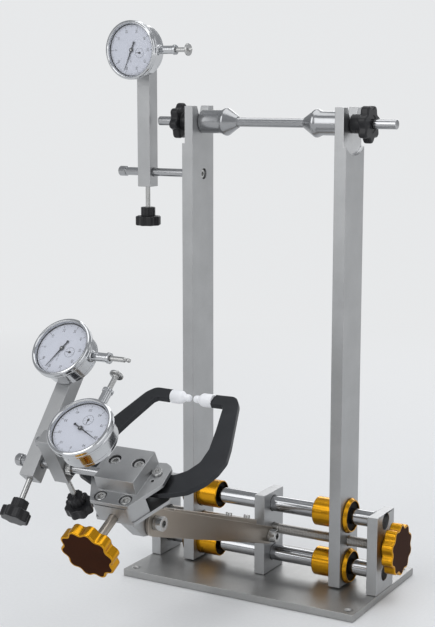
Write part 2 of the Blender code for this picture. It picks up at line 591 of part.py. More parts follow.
def caliper_arm(side, label, tilt, spot):
    """A curved flat arm with its nylon tip, on its own pivot between the two shells."""
    eye = pivot("arm_turn_" + label, spot(side * ARM_PIVOT_X, ARM_PIVOT_REACH, 0), 0, tilt)
    home = (-side * ARM_PIVOT_X, -ARM_PIVOT_REACH, 0)
    corners = [
        (21.3, 8.0, 0), (41.2, 8.5, 4), (47.7, 0.5, 5), (65.8, -52.5, 14), (70.2, -69.2, 14),
        (68.9, -83.6, 14), (63.5, -97.7, 14), (53.2, -109.6, 10), (39.3, -115.5, 10), (30, -117.6, 4),
        (20, -118.2, 2), (12, -118.5, 0.5), (8.8, -117.6, 1.5), (8.8, -114.4, 1.5), (12, -113.5, 0.5),
        (17.5, -113.2, 1.5), (16.2, -102, 4), (17, -93.5, 4), (25, -92, 4), (32, -95, 6), (42.1, -87, 8),
        (48.2, -75.5, 10), (48.3, -59, 10), (43.3, -36.5, 10), (35.5, -7.2, 2), (32.7, -4.3, 1),
        (21.3, -4.4, 0),
        (21.3, -1.7, 0), (14.5, -1.7, 0), (14.5, 5.3, 0), (21.3, 5.3, 0)]
    outline = mirrored(rounded(corners), side)
    arm = solid("arm_" + label, plate(outline, -ARM_HALF_THICK, ARM_HALF_THICK), "arm", eye, home)
    cut(arm, solid("arm_eye_" + label, rod(3.0 + GAP, -4, 4, 20), None, eye))

    nylon = [(0, 1.5), (1.6, 1.5), (2.8, 2.3), (3.3, 3.6), (3.4, 7.6), (5.8, 10.6), (6.0, 11.4), (6.0, 20.2)]
    nylon += [(5.5, 21), (0, 21)]
    face = (0, 90 * side, 0)
    middle = (-side * ARM_PIVOT_X, -ARM_PIVOT_REACH + 1.8, 0)
    tip = solid("tip_" + label, turned(nylon, 12), "nylon", eye, middle, face)
    low, high = sorted((side * 14.2, side * 22))
    socket = block((low, -3.8, -2.8), (high, 3.8, 2.8))
    cut(tip, solid("tip_socket_" + label, socket, None, eye, middle))

    pin = [(0, -13.4), (5.0, -13.4), (5.0, -11.7), (3.0, -11.7), (3.0, -7.9), (5.6, -7.9), (5.6, -2.8)]
    pin += [(3.0, -2.8), (3.0, 2.8), (5.6, 2.8), (5.6, 6.1), (3.0, 6.1), (3.0, 10.3), (4.6, 10.3)]
    pin += [(4.6, 12.2), (0, 12.2)]
    solid("arm_pivot_" + label, turned(pin, 10), "steel", tilt, spot(side * ARM_PIVOT_X, ARM_PIVOT_REACH, 0))


clear_scene()
base_and_plates()
width_screw()
left_slide = upright(-1, "left")
right_slide = upright(1, "right")
star_knob(-1, "left", left_slide, 95.5, 104.0)
star_knob(1, "right", right_slide, 95.5, 104.0)
axle(left_slide)
upper_arm(left_slide)
caliper_head(links())
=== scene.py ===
import math

import bmesh
import bpy
from mathutils import Matrix, Vector


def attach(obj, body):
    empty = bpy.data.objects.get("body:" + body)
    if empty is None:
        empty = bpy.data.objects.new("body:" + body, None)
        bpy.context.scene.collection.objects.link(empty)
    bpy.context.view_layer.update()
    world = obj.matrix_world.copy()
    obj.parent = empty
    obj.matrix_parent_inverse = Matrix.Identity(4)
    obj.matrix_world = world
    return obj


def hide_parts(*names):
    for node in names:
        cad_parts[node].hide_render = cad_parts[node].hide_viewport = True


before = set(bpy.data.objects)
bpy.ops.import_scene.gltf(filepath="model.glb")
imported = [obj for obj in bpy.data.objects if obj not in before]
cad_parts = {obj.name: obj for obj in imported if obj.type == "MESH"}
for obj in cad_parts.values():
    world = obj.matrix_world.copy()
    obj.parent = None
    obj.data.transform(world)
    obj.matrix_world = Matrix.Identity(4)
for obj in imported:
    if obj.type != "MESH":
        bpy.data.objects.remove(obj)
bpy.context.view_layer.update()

# Shapes are drawn in millimetres and placed in metres. GAP is the room around a rod or pin in its hole.
MM = 0.001
GAP = 0.3
SIDES = ((-1, "left"), (1, "right"))

# The stand: the base's half length, half depth and top, then what stands on it
BASE = (125.0, 72.5, 7.0)
BASE_HOLES = (116, 62.5)
HALF_DEPTH = 20
ROD_RADIUS = 7.75
ROD_HEIGHTS = {"lower": 25.2, "upper": 75.4}
SCREW_RADIUS = 5
SCREW_HEIGHT = 50.3
AXLE_HEIGHT = 447.0
AXLE_RADIUS = 4.5
UPRIGHT_FACES = (75.0, 87.0)
UPRIGHT_FOOT = 8.5
UPRIGHT_TOP = 462.1
POCKET_FLOOR = 84
POCKET_RADIUS = 28.5
BEARING_RADIUS = 14
BEARING_ENDS = (53.3, 91.3)
UPPER_ROD_HEIGHT = 396.5

# The links, from the rear to the front pivot (Y and Z), and the head that tilts on the front one
REAR_PIVOT = (-14.5, 47.0)
FRONT_PIVOT = (-220.9, 117.8)
LINK_REACH = REAR_PIVOT[0] - FRONT_PIVOT[0]
LINK_CLIMB = FRONT_PIVOT[1] - REAR_PIVOT[1]
LINK_LENGTH = math.hypot(LINK_REACH, LINK_CLIMB)
LINK_RISE = math.degrees(math.atan2(LINK_CLIMB, LINK_REACH))
HEAD_TILT = 28.5

# Places in the head's own directions, X being across it
HEAD_PIVOT = (-108, -44)
HEAD_ROD = (-116.4, 15)
HEAD_SCREW_LEVEL = -5.4
JAW_PIVOT = (23.9, -102)
TOP_SCREW = (11.6, -105.9, 18.0)
FRONT_SCREW = (12.2, -136.2, 6.9)

# Round holes for the pivots, for the rods of the gauges and for the cross pin
PIVOT_BORE = 3 + GAP
ROD_BORE = 4 + GAP
PIN_BORE = 3 + GAP

# The gauges: places of their bars along the rods and up the bars, and levels behind the bezel's front
BAR_HALF = 7.25
BAR_PLACES = {"upper": -139.2, "lateral": -87.7, "radial": -62.3}
BAR_LEANS = {"lateral": -38.8, "radial": 31.4}
DIAL_HEIGHTS = {"upper": 118.5, "lateral": 96.0}
DIAL_FRONT = -31.25
CROSS_PIN_HEIGHT = 27.2
CROSS_PIN_REACH = 45.3
LUG_DROP = 34
LUG_TURN = 10.1
STEM_LEVEL = -12.7
CASE_BACK = -23.4
INK_LEVEL = -4.39


def shift(x, y, z):
    return Matrix.Translation((x, y, z))


def turn(axis, angle):
    return Matrix.Rotation(math.radians(angle), 4, axis)


# Where each group of pieces is drawn. SIDEWAYS puts an outline's X and Y along Y and Z.
STAND = Matrix.Identity(4)
ALONG_X = turn("Y", 90)
ACROSS_X = turn("Y", -90)
SIDEWAYS = turn("Z", 90) @ turn("X", 90)
LINKS = shift(0, *REAR_PIVOT) @ turn("X", -LINK_RISE)
HEAD = shift(0, *FRONT_PIVOT) @ turn("X", HEAD_TILT) @ shift(0, -HEAD_PIVOT[0], -HEAD_PIVOT[1])
ALONG_SCREW = shift(0, 0, HEAD_SCREW_LEVEL) @ turn("X", -90)
BARS = {"upper": shift(BAR_PLACES["upper"], 0, UPPER_ROD_HEIGHT)}
for name, lean in BAR_LEANS.items():
    BARS[name] = HEAD @ shift(BAR_PLACES[name], *HEAD_ROD) @ turn("X", lean - HEAD_TILT)
DIALS = {name: BARS[name] @ shift(0, DIAL_FRONT, height) @ turn("X", 90)
         for name, height in DIAL_HEIGHTS.items()}
DIALS["radial"] = (BARS["radial"] @ shift(CROSS_PIN_REACH, 0, CROSS_PIN_HEIGHT) @ turn("X", LUG_TURN)
                   @ shift(0, 0, LUG_DROP) @ turn("Z", 90))
STEM = shift(0, 0, STEM_LEVEL) @ ALONG_X


# Finishes
def graph(name):
    material = bpy.data.materials.new(name)
    material.use_nodes = True
    tree = material.node_tree
    return material, tree, tree.nodes["Principled BSDF"]


def noise(tree, vector, size, detail=2.0, rough=0.5):
    """Noise whose grains are about size millimetres across."""
    node = tree.nodes.new("ShaderNodeTexNoise")
    node.inputs["Scale"].default_value = 1000.0 / size
    node.inputs["Detail"].default_value = detail
    node.inputs["Roughness"].default_value = rough
    tree.links.new(vector, node.inputs["Vector"])
    return node.outputs["Fac"]


def ranged(tree, value, low, high, start=0.3, end=0.7):
    """The value's range from start to end, drawn out to run from low to high."""
    node = tree.nodes.new("ShaderNodeMapRange")
    node.inputs["From Min"].default_value = start
    node.inputs["From Max"].default_value = end
    node.inputs["To Min"].default_value = low
    node.inputs["To Max"].default_value = high
    tree.links.new(value, node.inputs["Value"])
    return node.outputs["Result"]


def blend_colours(tree, factor, first, second):
    """A mix of two colours, each a plain colour or another node's output."""
    node = tree.nodes.new("ShaderNodeMix")
    node.data_type = "RGBA"
    for socket, value in ((6, first), (7, second)):
        if isinstance(value, bpy.types.NodeSocket):
            tree.links.new(value, node.inputs[socket])
        else:
            node.inputs[socket].default_value = (*value, 1.0)
    tree.links.new(factor, node.inputs[0])
    return node.outputs[2]


def tinted(colour, amount):
    return tuple(max(0.0, min(1.0, c * amount)) for c in colour)


def mapped(tree, vector, socket, value):
    """The pattern's coordinates, turned or drawn out."""
    node = tree.nodes.new("ShaderNodeMapping")
    node.inputs[socket].default_value = value
    tree.links.new(vector, node.inputs["Vector"])
    return node.outputs["Vector"]


def finish(name, colour, rough, metal=1.0, grain=0.35, relief=0.01, patches=14.0, contrast=0.1,
           gloss_spread=0.06, speck=0.08, lie=(0, 0, 0), stretch=(1, 1, 1), soft_light=0.0, shine=0.5):
    """A surface with fine grain in its colour, gloss and relief, over slow patches in its tone.

    lie turns the pattern and stretch draws it out, for brushed, ground and turned metal. grain,
    patches and relief are in millimetres.
    """
    material, tree, shader = graph(name)
    even = tree.nodes.new("ShaderNodeTexCoord").outputs["Object"]
    where = even
    if any(lie):
        where = mapped(tree, where, "Rotation", [math.radians(a) for a in lie])
    if stretch != (1, 1, 1):
        where = mapped(tree, where, "Scale", stretch)
    fine = noise(tree, where, grain)
    slow = noise(tree, even, patches, 3.0, 0.6)
    darker, lighter = tinted(colour, 1 - contrast), tinted(colour, 1 + contrast)
    tone = blend_colours(tree, ranged(tree, slow, 0.0, 1.0), darker, lighter)
    dots = blend_colours(tree, ranged(tree, fine, 0.0, speck * 2, 0.35, 0.65), tone, tinted(colour, 0.55))
    tree.links.new(dots, shader.inputs["Base Color"])
    gloss = ranged(tree, fine, rough - gloss_spread, rough + gloss_spread)
    tree.links.new(gloss, shader.inputs["Roughness"])
    bump = tree.nodes.new("ShaderNodeBump")
    bump.inputs["Strength"].default_value = 0.6
    bump.inputs["Distance"].default_value = relief * MM
    tree.links.new(fine, bump.inputs["Height"])
    tree.links.new(bump.outputs["Normal"], shader.inputs["Normal"])
    shader.inputs["Metallic"].default_value = metal
    shader.inputs["Specular IOR Level"].default_value = shine
    if soft_light:
        shader.inputs["Subsurface Weight"].default_value = soft_light
        shader.inputs["Subsurface Radius"].default_value = (0.002, 0.002, 0.002)
        shader.inputs["Subsurface Scale"].default_value = 1.0
    material.diffuse_color = (*colour, 1.0)
    return material


def crystal(name):
    """Clear cover: see-through from the front; seen from the side it turns an opaque pale white, a painted
    reflection added to the coat's real gloss.
    """
    clear = (0.93, 0.95, 0.97)
    material, tree, shader = graph(name)
    facing = tree.nodes.new("ShaderNodeLayerWeight")
    facing.inputs["Blend"].default_value = 0.25
    where = tree.nodes.new("ShaderNodeTexCoord").outputs["Object"]
    dust = noise(tree, where, 6.0, 3.0)
    # Painted reflection: from the side the alpha rises and the white base colour shows, over the coat's
    # real gloss.
    tree.links.new(ranged(tree, facing.outputs["Facing"], 0.03, 0.4, 0.2, 1.0), shader.inputs["Alpha"])
    tree.links.new(ranged(tree, dust, 0.03, 0.08), shader.inputs["Roughness"])
    shader.inputs["Base Color"].default_value = (*clear, 1.0)
    shader.inputs["Coat Weight"].default_value = 1.0
    material.diffuse_color = (*clear, 0.2)
    return material


FINISHES = {
    "plate": finish("blasted_aluminium", (0.43, 0.435, 0.44), rough=0.42, grain=0.32, relief=0.012,
                    patches=26, contrast=0.05, speck=0.07),
    "machined": finish("machined_pocket", (0.62, 0.625, 0.63), rough=0.3, grain=0.3, relief=0.004,
                       patches=12, contrast=0.05),
    "base": finish("blasted_base", (0.42, 0.42, 0.415), rough=0.45, grain=0.4, relief=0.014, patches=34,
                   contrast=0.07, speck=0.12),
    "arm": finish("dark_anodising", (0.042, 0.044, 0.048), rough=0.4, metal=0.9, grain=0.4, relief=0.012,
                  patches=22, contrast=0.08),
    "rod": finish("ground_steel", (0.42, 0.425, 0.435), rough=0.15, grain=0.22, relief=0.002, patches=24,
                  contrast=0.03, gloss_spread=0.03, speck=0.04, stretch=(0.04, 1, 1)),
    "bolt": finish("turned_steel", (0.5, 0.5, 0.495), rough=0.26, grain=0.3, relief=0.003, patches=9,
                   contrast=0.05, gloss_spread=0.03, speck=0.04),
    "screw": finish("rolled_screw_steel", (0.40, 0.385, 0.365), rough=0.36, grain=0.5, relief=0.002,
                    patches=20, contrast=0.05, gloss_spread=0.02, speck=0.03),
    "chrome": finish("bright_plating", (0.56, 0.57, 0.585), rough=0.13, grain=0.6, relief=0.0008,
                     patches=20, contrast=0.03, gloss_spread=0.02, speck=0.02),
    "turned": finish("turned_aluminium", (0.36, 0.365, 0.375), rough=0.24, grain=0.25, relief=0.001,
                     patches=30, contrast=0.03, gloss_spread=0.015, speck=0.03, stretch=(1, 0.05, 0.05)),
    "link": finish("brushed_stainless", (0.40, 0.36, 0.315), rough=0.32, grain=0.16, relief=0.003,
                   patches=40, contrast=0.03, gloss_spread=0.03, speck=0.04, lie=(LINK_RISE, 0, 0),
                   stretch=(1, 0.02, 1)),
    "gold": finish("gold_anodising", (0.62, 0.30, 0.014), rough=0.24, grain=0.4, relief=0.003,
                   patches=14, contrast=0.05, gloss_spread=0.03, speck=0.04),
    # Painted reflection: the knobs' polished outer faces get a matt dark brown that stands for a dark room
    # mirrored in them.
    "painted_dark_reflection": finish("knob_face_painted_reflection", (0.034, 0.009, 0.002), rough=0.45, metal=0.0, grain=0.4, relief=0.004,
                    patches=12, shine=0.03),
    "black": finish("moulded_black", (0.016, 0.016, 0.018), rough=0.36, metal=0.0, grain=0.5,
                    relief=0.02, patches=9, contrast=0.2, shine=0.3),
    "rubber": finish("seal_rubber", (0.005, 0.005, 0.005), rough=0.6, metal=0.0, grain=0.3, relief=0.02,
                     patches=5, contrast=0.2, shine=0.1),
    "nylon": finish("white_nylon", (0.86, 0.87, 0.90), rough=0.42, metal=0.0, grain=0.5, relief=0.015,
                    patches=6, contrast=0.03, speck=0.02, soft_light=0.2),
    "dial": finish("dial_enamel", (0.54, 0.56, 0.63), rough=0.4, metal=0.0, grain=0.12, relief=0.001,
                   contrast=0.015, gloss_spread=0.03, speck=0.01),
    "ink": finish("dial_ink", (0.03, 0.03, 0.035), rough=0.5, metal=0.0, grain=0.1, relief=0.001,
                  patches=2, contrast=0.2),
    "blued": finish("blued_pointer", (0.02, 0.022, 0.03), rough=0.3, metal=0.4, grain=0.2, relief=0.002,
                    patches=4, contrast=0.2),
    "crystal": crystal("dial_crystal"),
}
SHARP_ANGLE = 50


# Shapes
def tidy(bm):
    bmesh.ops.remove_doubles(bm, verts=bm.verts, dist=0.0005)
    bmesh.ops.recalc_face_normals(bm, faces=bm.faces)
    return bm


def soften(bm, width, segments=2, angle=28):
    """Breaks every edge sharper than angle."""
    if width <= 0:
        return bm
    limit = math.radians(angle)
    edges = [e for e in bm.edges if len(e.link_faces) == 2 and e.calc_face_angle(0) > limit]
    bmesh.ops.bevel(bm, geom=edges, offset=width, offset_type="OFFSET", affect="EDGES", segments=segments,
                    profile=0.5, material=-1, clamp_overlap=True)
    return bm


def drawn(bm, points):
    """A line of joined points, each (x, y, z)."""
    verts = [bm.verts.new(point) for point in points]
    for pair in zip(verts, verts[1:]):
        bm.edges.new(pair)
    return verts


def lathe(profile, steps=64, soft=0.0, segments=2):
    """A round shape about Z, from (radius, height) pairs."""
    bm = bmesh.new()
    verts = drawn(bm, [(radius, 0, height) for radius, height in profile])
    if profile[0][0] > 0:
        bm.edges.new((verts[-1], verts[0]))
    bmesh.ops.spin(bm, geom=list(bm.verts) + list(bm.edges), cent=(0, 0, 0), axis=(0, 0, 1),
                   angle=math.tau, steps=steps, use_merge=True)
    return soften(tidy(bm), soft, segments)


def bar(radius, low, high, steps=48, soft=0.6):
    return lathe([(0, low), (radius, low), (radius, high), (0, high)], steps, soft, 3)


def ring(inner, outer, low, high, steps, soft):
    return lathe([(inner, low), (outer, low), (outer, high), (inner, high)], steps, soft)


def slab(outline, low, high, soft=0.0, segments=2):
    """A flat shape with the outline in X and Y, from low to high."""
    bm = bmesh.new()
    face = bm.faces.new([bm.verts.new((x, y, low)) for x, y in outline])
    raised = bmesh.ops.extrude_face_region(bm, geom=[face])["geom"]
    top = [v for v in raised if isinstance(v, bmesh.types.BMVert)]
    bmesh.ops.translate(bm, verts=top, vec=(0, 0, high - low))
    return soften(tidy(bm), soft, segments)


def brick(low, high, soft=0.0, segments=2):
    bm = bmesh.new()
    bmesh.ops.create_cube(bm, size=1.0)
    bmesh.ops.scale(bm, verts=bm.verts, vec=[b - a for a, b in zip(low, high)])
    bmesh.ops.translate(bm, verts=bm.verts, vec=[(a + b) / 2 for a, b in zip(low, high)])
    return soften(bm, soft, segments)


def moved(bm, place):
    bmesh.ops.transform(bm, matrix=place, verts=bm.verts)
    return bm


def prism(sides, radius, low, high, place=STAND):
    """A column along the place's Z. With many sides it is the drill that makes a round hole."""
    bm = bmesh.new()
    bmesh.ops.create_cone(bm, cap_ends=True, segments=sides, radius1=radius, radius2=radius,
                          depth=high - low)
    bmesh.ops.translate(bm, verts=bm.verts, vec=(0, 0, (low + high) / 2))
    return moved(bm, place)


def gathered(*shapes):
    """Several shapes as one."""
    bm = bmesh.new()
    for shape in shapes:
        mesh = bpy.data.meshes.new("gathered")
        shape.to_mesh(mesh)
        shape.free()
        bm.from_mesh(mesh)
        bpy.data.meshes.remove(mesh)
    return bm


def loose(bm):
    """The shape as an object that a modifier can use."""
    mesh = bpy.data.meshes.new("loose")
    tidy(bm).to_mesh(mesh)
    bm.free()
    item = bpy.data.objects.new("loose", mesh)
    bpy.context.scene.collection.objects.link(item)
    return item


def worked(bm, others, operation):
    """The shape with the others taken out of it, or joined to it."""
    items = [loose(bm)] + [loose(other) for other in others]
    for other in items[1:]:
        step = items[0].modifiers.new("step", "BOOLEAN")
        step.operation = operation
        step.solver = "EXACT"
        step.object = other
    made = bmesh.new()
    made.from_object(items[0], bpy.context.evaluated_depsgraph_get())
    for item in items:
        mesh = item.data
        bpy.data.objects.remove(item, do_unlink=True)
        bpy.data.meshes.remove(mesh)
    return tidy(made)


def carved(bm, *others):
    return worked(bm, others, "DIFFERENCE")


def joined(bm, *others):
    return worked(bm, others, "UNION")


def around(angle, radius):
    """The point at an angle, in degrees, on a circle about the origin."""
    return radius * math.cos(math.radians(angle)), radius * math.sin(math.radians(angle))


def arc(x, y, radius, start, end, steps):
    points = [around(start + (end - start) * i / steps, radius) for i in range(steps + 1)]
    return [(x + across, y + up) for across, up in points]


def rounded(corners):
    """An outline whose corners (x, y, radius) are rounded by fine arcs."""
    outline = []
    count = len(corners)
    for i, (x, y, radius) in enumerate(corners):
        if radius <= 0:
            outline.append((x, y))
            continue
        here = Vector((x, y))
        before = Vector(corners[i - 1][:2]) - here
        after = Vector(corners[(i + 1) % count][:2]) - here
        half = before.angle(after) / 2
        away = min(radius / math.tan(half), 0.49 * before.length, 0.49 * after.length)
        real = away * math.tan(half)
        inward = (before.normalized() + after.normalized()).normalized()
        middle = here + inward * math.hypot(away, real)
        first = here + before.normalized() * away - middle
        last = here + after.normalized() * away - middle
        start = math.atan2(first.y, first.x)
        sweep = (math.atan2(last.y, last.x) - start + math.pi) % math.tau - math.pi
        steps = max(3, round(abs(math.degrees(sweep)) / 8))
        for k in range(steps + 1):
            angle = start + sweep * k / steps
            outline.append((middle.x + real * math.cos(angle), middle.y + real * math.sin(angle)))
    return outline


def mirrored(points, side):
    return points if side > 0 else [(-x, y) for x, y in reversed(points)]


def both_sides(points):
    """The points with their mirror images, as one outline."""
    return points + [(-x, *rest) for x, *rest in reversed(points)]


def lobed(radius, depth, lobes, sharpness=1.0, steps=14):
    """The outline of a grip with hollows between its lobes."""
    outline = []
    for i in range(lobes * steps):
        angle = math.tau * i / (lobes * steps)
        reach = radius - depth * (0.5 - 0.5 * math.cos(lobes * angle)) ** sharpness
        outline.append((reach * math.cos(angle), reach * math.sin(angle)))
    return outline


def printed(words, size):
    """Words as a thin raised print, centred, reading along X."""
    curve = bpy.data.curves.new("print", "FONT")
    curve.body = words
    curve.size = size
    curve.align_x = "CENTER"
    curve.align_y = "CENTER"
    curve.extrude = 0.02
    curve.resolution_u = 3
    item = bpy.data.objects.new("print", curve)
    bpy.context.scene.collection.objects.link(item)
    dg = bpy.context.evaluated_depsgraph_get()
    bm = bmesh.new()
    bm.from_mesh(item.evaluated_get(dg).to_mesh())
    bpy.data.objects.remove(item, do_unlink=True)
    bpy.data.curves.remove(curve)
    return bm


def piece(name, bm, finish_name, place, body, stands_for=None, second=None):
    """The shape as a finished piece of the stand. second is a finish for faces marked with index 1."""
    bmesh.ops.transform(bm, matrix=Matrix.Scale(MM, 4) @ place, verts=bm.verts)
    mesh = bpy.data.meshes.new(name)
    bm.to_mesh(mesh)
    bm.free()
    mesh.materials.append(FINISHES[finish_name])
    if second:
        mesh.materials.append(FINISHES[second])
    mesh.shade_smooth()
    mesh.set_sharp_from_angle(angle=math.radians(SHARP_ANGLE))
    item = bpy.data.objects.new(name, mesh)
    bpy.context.scene.collection.objects.link(item)
    even = item.modifiers.new("even_shading", "WEIGHTED_NORMAL")
    even.keep_sharp = True
    even.weight = 50
    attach(item, body)
    if stands_for:
        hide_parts(stands_for)


def cap_head(radius, height, hexagon, sink=0.55):
    """A socket cap screw's head standing on Z = 0, its hexagon measured across the corners."""
    head = lathe([(0, 0), (radius, 0), (radius, height - 0.4), (radius - 0.4, height), (0, height)], 40)
    head = carved(head, prism(6, hexagon / 2, height * (1 - sink), height + 1))
    return soften(head, 0.14, 2, 35)


def threaded(radius, depth, pitch, low, high, steps=20, left=False):
    """A screw thread about Z, cut flat at both ends."""
    bm = bmesh.new()
    root = radius - depth
    crest = radius - depth * 0.1
    drawn(bm, [(root, 0, 0), (crest, 0, pitch * 0.42), (crest, 0, pitch * 0.58), (root, 0, pitch)])
    turns = math.ceil((high - low) / pitch) + 2
    way = -1 if left else 1
    bmesh.ops.spin(bm, geom=list(bm.verts) + list(bm.edges), cent=(0, 0, 0), axis=(0, 0, way),
                   dvec=(0, 0, pitch / steps), angle=math.tau * turns, steps=steps * turns)
    bmesh.ops.translate(bm, verts=bm.verts, vec=(0, 0, low - pitch))
    bmesh.ops.remove_doubles(bm, verts=bm.verts, dist=0.002)
    for level, side in ((low, -1), (high, 1)):
        geom = list(bm.verts) + list(bm.edges) + list(bm.faces)
        bmesh.ops.bisect_plane(bm, geom=geom, plane_co=(0, 0, level), plane_no=(0, 0, side),
                               clear_outer=True)
    rims = [e for e in bm.edges if e.is_boundary]
    bmesh.ops.holes_fill(bm, edges=rims, sides=0)
    bmesh.ops.recalc_face_normals(bm, faces=bm.faces)
    return bm


def gold_knob(low, high, outer=1):
    """A scalloped grip whose face at high, or the one at low where outer is -1, is painted a matt dark
    brown: a painted reflection of a dark room on its polished face.
    """
    shape = slab(lobed(25, 3.0, 10, 1.4, 12), low, high, 1.0, 4)
    level = high if outer > 0 else low
    flat = [f for f in shape.faces if abs(f.normal.z) > 0.99]
    # The faces at that end take the second finish, the painted dark reflection.
    dark = [f for f in flat if abs(f.calc_center_median().z - level) < 0.1]
    bmesh.ops.inset_region(shape, faces=dark, thickness=0.7, depth=0.0, use_even_offset=True)
    for face in dark:
        face.material_index = 1
    return shape


# Base, plates and rods
def base():
    x, y, top = BASE
    hole_x, hole_y = BASE_HOLES
    places = [shift(a, b, 0) for a in (-hole_x, hole_x) for b in (-hole_y, hole_y)]
    holes = [prism(32, 2.5, -1, top + 1, place) for place in places]
    sink = [(0, top - 1.6), (2.4, top - 1.6), (4.4, top + 0.4), (0, top + 0.4)]
    sinks = [moved(lathe(sink, 32), place) for place in places]
    shape = carved(brick((-x, -y, 0), (x, y, top)), gathered(*holes), gathered(*sinks))
    piece("base", soften(shape, 0.5, 3, 40), "base", STAND, "frame", "base_plate")


def plates_and_rods():
    end, foot = BASE[0], BASE[2] + GAP
    thick, end_top = 10.5, 83.5
    half_thick, centre_top = 5.5, 87.5
    spans = {"end_plate_left": (-end, thick - end, end_top), "end_plate_right": (end - thick, end, end_top),
             "centre_plate": (-half_thick, half_thick, centre_top)}
    for name, (low, high, tall) in spans.items():
        shape = brick((low, -HALF_DEPTH, foot), (high, HALF_DEPTH, tall))
        bores = [prism(40, ROD_RADIUS + GAP, low - 1, high + 1, SIDEWAYS @ shift(0, z, 0))
                 for z in ROD_HEIGHTS.values()]
        bores.append(prism(32, SCREW_RADIUS + GAP, low - 1, high + 1, SIDEWAYS @ shift(0, SCREW_HEIGHT, 0)))
        if name == "centre_plate":
            bores.append(prism(24, PIVOT_BORE, low - 1, high + 1, SIDEWAYS @ shift(*REAR_PIVOT, 0)))
        shape = soften(carved(shape, gathered(*bores)), 0.55, 3, 40)
        piece("plate_" + name, shape, "plate", STAND, "frame", name)

    rod_end = 117
    for label, z in ROD_HEIGHTS.items():
        rod = bar(ROD_RADIUS, -rod_end, rod_end, 64, 0.9)
        piece("rod_" + label, rod, "rod", shift(0, 0, z) @ ALONG_X, "frame", "guide_rod_" + label)


def width_screw():
    """The screw that draws the uprights together, with a left and a right thread."""
    place = shift(0, 0, SCREW_HEIGHT) @ ALONG_X
    core = [bar(SCREW_RADIUS, -123, -111), bar(SCREW_RADIUS, -12, 12), bar(SCREW_RADIUS, 111, 138, 48, 0.9),
            bar(4.3, -115, 115)]
    depth, pitch = 0.55, 1.75
    start, end = 11.5, 111.5
    threads = [threaded(SCREW_RADIUS, depth, pitch, -end, -start, left=True),
               threaded(SCREW_RADIUS, depth, pitch, start, end)]
    piece("screw", gathered(*core, *threads), "screw", place, "width_screw", "lead_screw")
    knob = gold_knob(131, 142)
    hub = lathe([(5.3, 125.3), (11.0, 125.3), (11.6, 125.9), (11.6, 131.4), (5.3, 131.4)], 64, 0.2)
    piece("width_grip", gathered(knob, hub), "gold", place, "width_screw", "width_knob", second="painted_dark_reflection")


# Uprights, axle and star knobs
def upright(side, label):
    """A tall plate with a slot for the axle, open at the top, in a round pocket on its outer face."""
    body = label + "_upright"
    low, high = sorted((side * UPRIGHT_FACES[0], side * UPRIGHT_FACES[1]))
    shape = brick((low, -HALF_DEPTH, UPRIGHT_FOOT), (high, HALF_DEPTH, UPRIGHT_TOP))
    bores = [prism(48, BEARING_RADIUS + GAP, low - 1, high + 1, SIDEWAYS @ shift(0, z, 0))
             for z in ROD_HEIGHTS.values()]
    bores.append(prism(32, SCREW_RADIUS + GAP, low - 1, high + 1, SIDEWAYS @ shift(0, SCREW_HEIGHT, 0)))
    if side < 0:
        bores.append(prism(40, 5.2, high - 5, high + 1, SIDEWAYS @ shift(1.7, UPPER_ROD_HEIGHT, 0)))
    seat, mouth = 5, 11.5
    flare = AXLE_HEIGHT + 1.5
    over = UPRIGHT_TOP + 1
    slot = arc(0, AXLE_HEIGHT, seat, 180, 360, 24)
    slot += [(seat, flare), (mouth, over), (-mouth, over), (-seat, flare)]
    slot = moved(slab(slot, low - 1, high + 1), SIDEWAYS)
    pocket = arc(0, AXLE_HEIGHT, POCKET_RADIUS, 180, 360, 60)
    pocket += [(POCKET_RADIUS, over + 1), (-POCKET_RADIUS, over + 1)]
    pocket = moved(slab(pocket, *sorted((side * POCKET_FLOOR, side * 88))), SIDEWAYS)
    shape = soften(carved(shape, gathered(*bores), slot, pocket), 0.5, 3, 40)
    for face in shape.faces:
        middle = face.calc_center_median()
        near = math.hypot(middle.y, middle.z - AXLE_HEIGHT) < POCKET_RADIUS + 0.1
        if near and POCKET_FLOOR - 0.5 < side * middle.x < 86.4:
            face.material_index = 1
    piece("upright_plate_" + label, shape, "plate", STAND, body, "upright_" + label, second="machined")

    outward = ALONG_X if side > 0 else ACROSS_X
    for name, z in ROD_HEIGHTS.items():
        bearing(label + "_" + name, shift(0, 0, z) @ outward, body)
    cone = [(4.8, 35.5), (5.3, 35.5), (5.6, 35.8), (13.0, 46.8), (13.2, 47.3), (13.2, 48.7), (13.0, 49.2),
            (11.1, 53.2), (11.1, 74.4), (10.8, 74.7), (4.8, 74.7)]
    place = shift(0, 0, AXLE_HEIGHT) @ outward
    piece("centring_cone_" + label, lathe(cone, 72, 0.18), "turned", place, body, "cone_" + label)


def bearing(name, place, body):
    """A gold bushing with a thin rim inside, a flange outside and a seal in each end."""
    inner, outer = BEARING_ENDS
    bore = ROD_RADIUS + GAP
    flange = 87.3
    wall = [(bore, inner + 3.4), (12.9, inner + 3.4), (12.9, inner), (13.2, inner),
            (BEARING_RADIUS, inner + 0.8), (BEARING_RADIUS, flange), (16.6, flange), (17.0, flange + 0.4),
            (17.0, flange + 1.3), (15.4, outer - 0.2), (15.2, outer), (14.3, outer), (14.3, outer - 2.6),
            (bore, outer - 2.6)]
    piece("bearing_" + name, lathe(wall, 72, 0.16), "gold", place, body, "bushing_" + name)
    seals = {"inner": (12.8, inner + 2.4, inner + 3.6), "outer": (14.2, outer - 2.8, outer - 1.6)}
    for end, (reach, low, high) in seals.items():
        piece(f"seal_{name}_{end}", ring(7.95, reach, low, high, 56, 0.15), "rubber", place, body)


